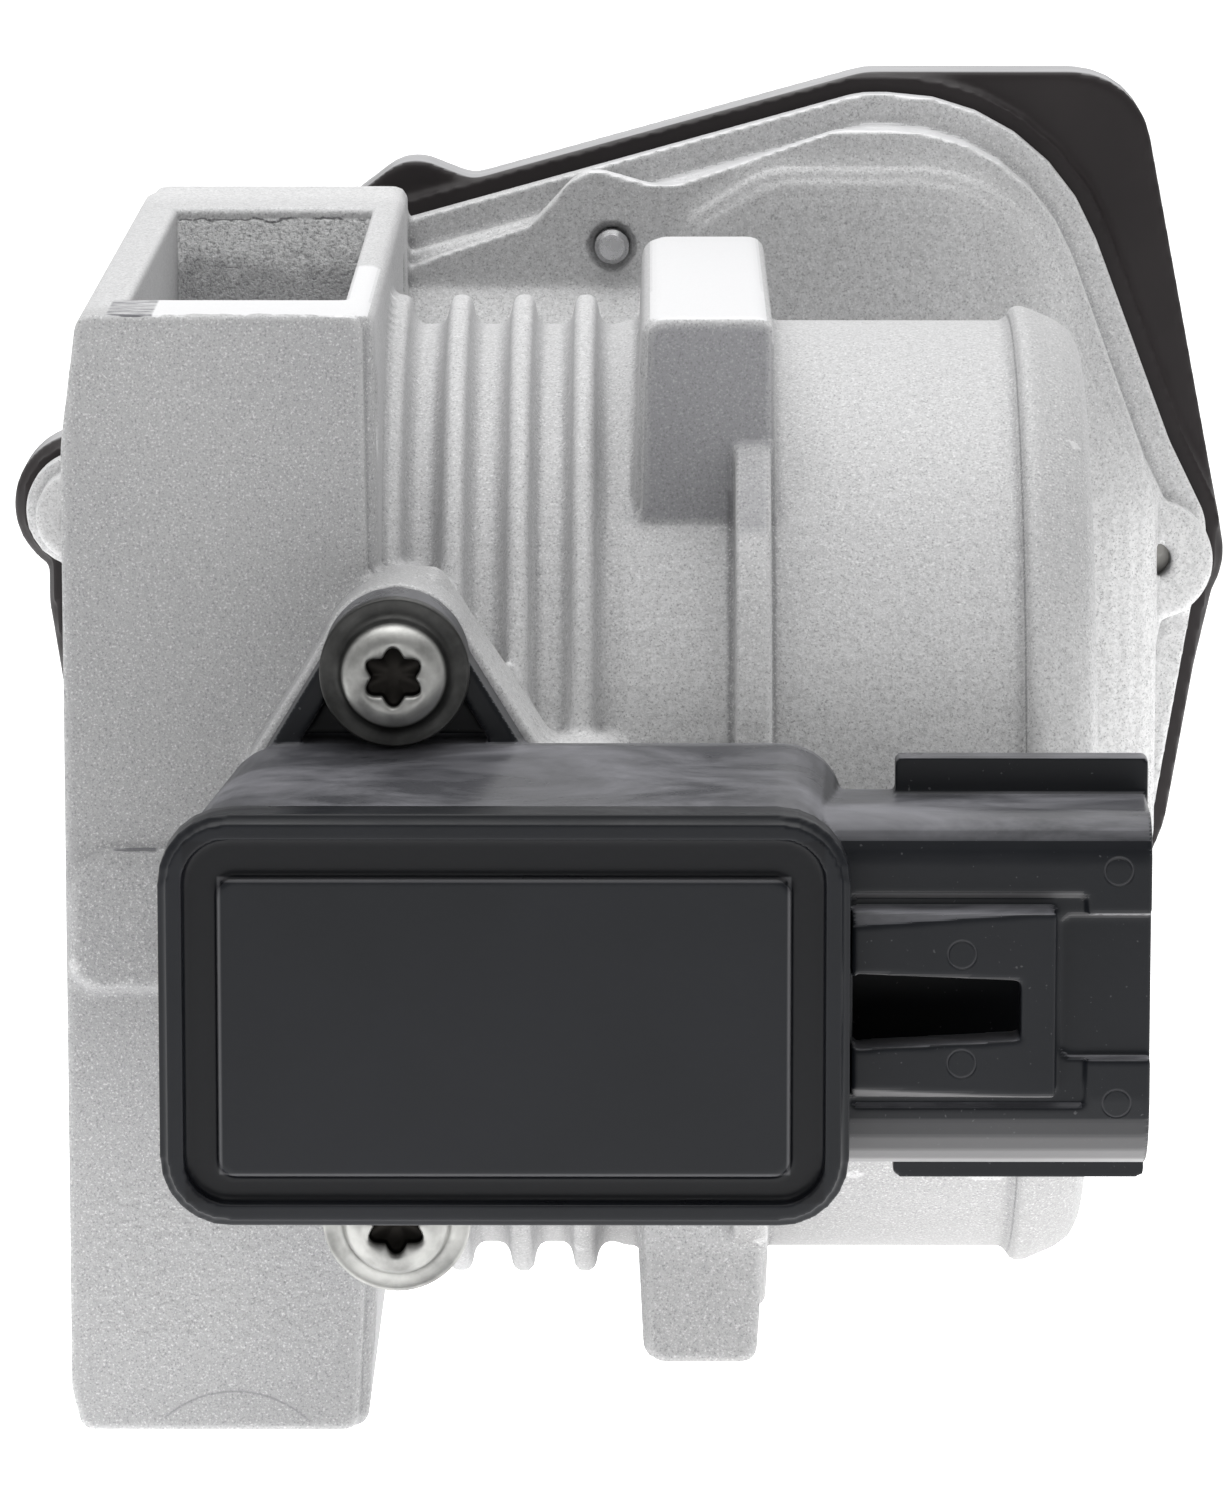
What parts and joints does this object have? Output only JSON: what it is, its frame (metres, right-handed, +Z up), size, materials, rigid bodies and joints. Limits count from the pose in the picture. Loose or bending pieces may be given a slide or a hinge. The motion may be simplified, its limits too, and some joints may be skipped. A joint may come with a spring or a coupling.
{
  "type": "electronic throttle body",
  "caption": "Motor-driven throttle body: cast bore with a butterfly plate, gear train under a rear cover and a position sensor on the shaft's other end.",
  "frame": {"origin": "centre of the air bore on the manifold mounting face", "axes": "+X along the bore from the manifold face to the air inlet, +Y along the throttle shaft from the sensor to the gearbox, +Z up as pictured"},
  "size_m": [0.1072, 0.1696, 0.0977],
  "materials": {
    "cast_aluminium": "shot-blasted casting with machined faces",
    "cover_plastic": "matt moulded, fine grain",
    "sensor_plastic": "satin moulded",
    "black_rubber": "matt",
    "screw_steel": "zinc plated",
    "bright_steel": "ground",
    "plate_brass": "turned",
    "gear_plastic": "glass-filled nylon",
    "spring_steel": "drawn wire",
    "pinion_brass": "bright",
    "copper": "enamelled copper",
    "motor_steel": "zinc plated",
    "magnet_black": "sintered ferrite",
    "end_cap_plastic": "moulded",
    "circuit_board": "solder mask"
  },
  "bodies": {
    "housing": {"throttle_housing": "cast_aluminium", "gear_cover": "cover_plastic", "cover_gasket": "black_rubber", "cover_screws": "screw_steel", "needle_bearing_shell": "bright_steel", "ball_bearing_outer_race": "bright_steel", "front_shaft_seal": "black_rubber", "rear_shaft_seal": "black_rubber", "return_spring": "spring_steel", "spring_bush": "gear_plastic", "idler_pin": "bright_steel", "blanking_plug": "bright_steel", "stop_screw": "screw_steel", "motor_case": "motor_steel", "motor_magnets": "magnet_black", "motor_end_cap": "end_cap_plastic", "motor_brushes": "pinion_brass", "motor_bracket": "motor_steel", "motor_screws": "screw_steel", "motor_terminals": "pinion_brass", "sensor_housing": "sensor_plastic", "sensor_lid": "sensor_plastic", "sensor_board": "circuit_board", "sensor_terminals": "pinion_brass", "sensor_seal_ring": "black_rubber", "sensor_sleeves": "bright_steel", "sensor_screws": "screw_steel"},
    "throttle": {"throttle_shaft": "bright_steel", "throttle_plate": "plate_brass", "plate_screws": "screw_steel", "ball_bearing_inner_race": "bright_steel", "sector_gear": "gear_plastic", "sector_nut": "screw_steel", "sensor_rotor": "gear_plastic", "sensor_magnet": "magnet_black"},
    "idler": {"idler_gear": "gear_plastic"},
    "motor_rotor": {"motor_pinion": "pinion_brass", "motor_shaft": "bright_steel", "motor_armature": "motor_steel", "motor_windings": "copper", "motor_commutator": "copper"},
    "ball_set": {"ball_bearing_balls": "bright_steel"},
    "roller_set": {"needle_rollers": "bright_steel"}
  },
  "joints": [
    {"name": "throttle_turn", "type": "hinge", "parent": "housing", "child": "throttle", "pos_m": [0.0259, 0, 0], "axis": [0, 1, 0], "range_deg": [-7, 78], "stiffness_Nm_per_rad": 0.25, "deforming": ["return_spring"]},
    {"name": "idler_turn", "type": "hinge", "parent": "housing", "child": "idler", "pos_m": [0.05687, 0.05, 0.00986], "axis": [0, 1, 0], "range_deg": [-315, 31]},
    {"name": "motor_turn", "type": "hinge", "parent": "housing", "child": "motor_rotor", "pos_m": [0.069, 0.06, 0.027], "axis": [0, 1, 0], "range_deg": [-117, 1253]},
    {"name": "ball_set_turn", "type": "hinge", "parent": "housing", "child": "ball_set", "pos_m": [0.0259, 0.0421, 0], "axis": [0, 1, 0], "range_deg": [-5, 32]},
    {"name": "roller_set_turn", "type": "hinge", "parent": "housing", "child": "roller_set", "pos_m": [0.0259, -0.042, 0], "axis": [0, 1, 0], "range_deg": [-5, 36]}
  ],
  "couplings": [
    {"joint": "idler_turn", "follows": "throttle_turn", "ratio": -4},
    {"joint": "motor_turn", "follows": "throttle_turn", "ratio": 16},
    {"joint": "ball_set_turn", "follows": "throttle_turn", "ratio": 0.3667},
    {"joint": "roller_set_turn", "follows": "throttle_turn", "ratio": 0.4311}
  ]
}
